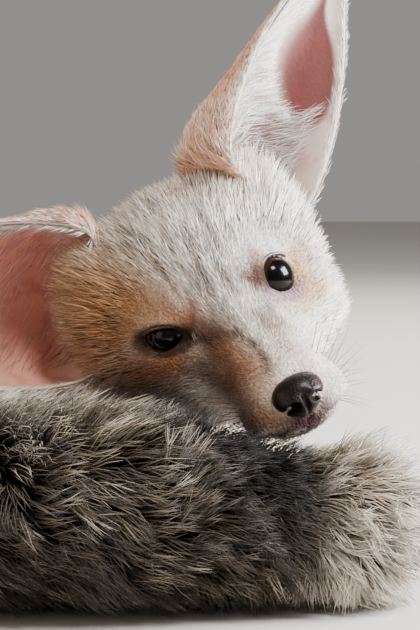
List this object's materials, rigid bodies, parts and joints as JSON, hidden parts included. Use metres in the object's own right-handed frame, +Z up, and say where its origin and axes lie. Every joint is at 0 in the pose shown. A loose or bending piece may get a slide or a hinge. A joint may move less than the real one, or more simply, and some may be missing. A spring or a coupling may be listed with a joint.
{
  "type": "fennec fox",
  "caption": "Curled fennec fox lying on the floor, its head resting on its bushy tail, large ears spread.",
  "frame": {"origin": "on the floor under the shoulders, on the flat that the chest rests on", "axes": "+Z up, muzzle towards -Y, the body curls behind the head towards -X"},
  "size_m": [0.2408, 0.257, 0.1598],
  "materials": {
    "coat_cream": "short dense cream fur, matt, with a sandy wash round the eyes",
    "coat_sand": "soft sandy buff fur with darker tips along the back, matt",
    "coat_grizzled": "long bushy fur banded near black, brown and tan, matt",
    "ear_skin": "thin pink skin under fine white hair, soft",
    "eye": "very dark brown, wet and glossy",
    "nose_leather": "dark maroon black, finely pebbled, moist"
  },
  "bodies": {
    "root": {"head": "coat_cream", "lower_jaw": "coat_cream", "forepaw_left": "coat_cream", "forepaw_right": "coat_cream", "hind_foot_left": "coat_cream", "hind_foot_right": "coat_cream", "neck": "coat_cream", "foreleg_left": "coat_sand", "foreleg_right": "coat_sand", "thigh_left": "coat_sand", "thigh_right": "coat_sand", "chest": "coat_sand", "loin": "coat_sand", "rump": "coat_sand", "tail_base": "coat_grizzled", "tail_middle": "coat_grizzled", "tail_end": "coat_grizzled", "ear_left": "ear_skin", "ear_right": "ear_skin", "eye_left": "eye", "eye_right": "eye", "nose": "nose_leather"}
  },
  "joints": []
}
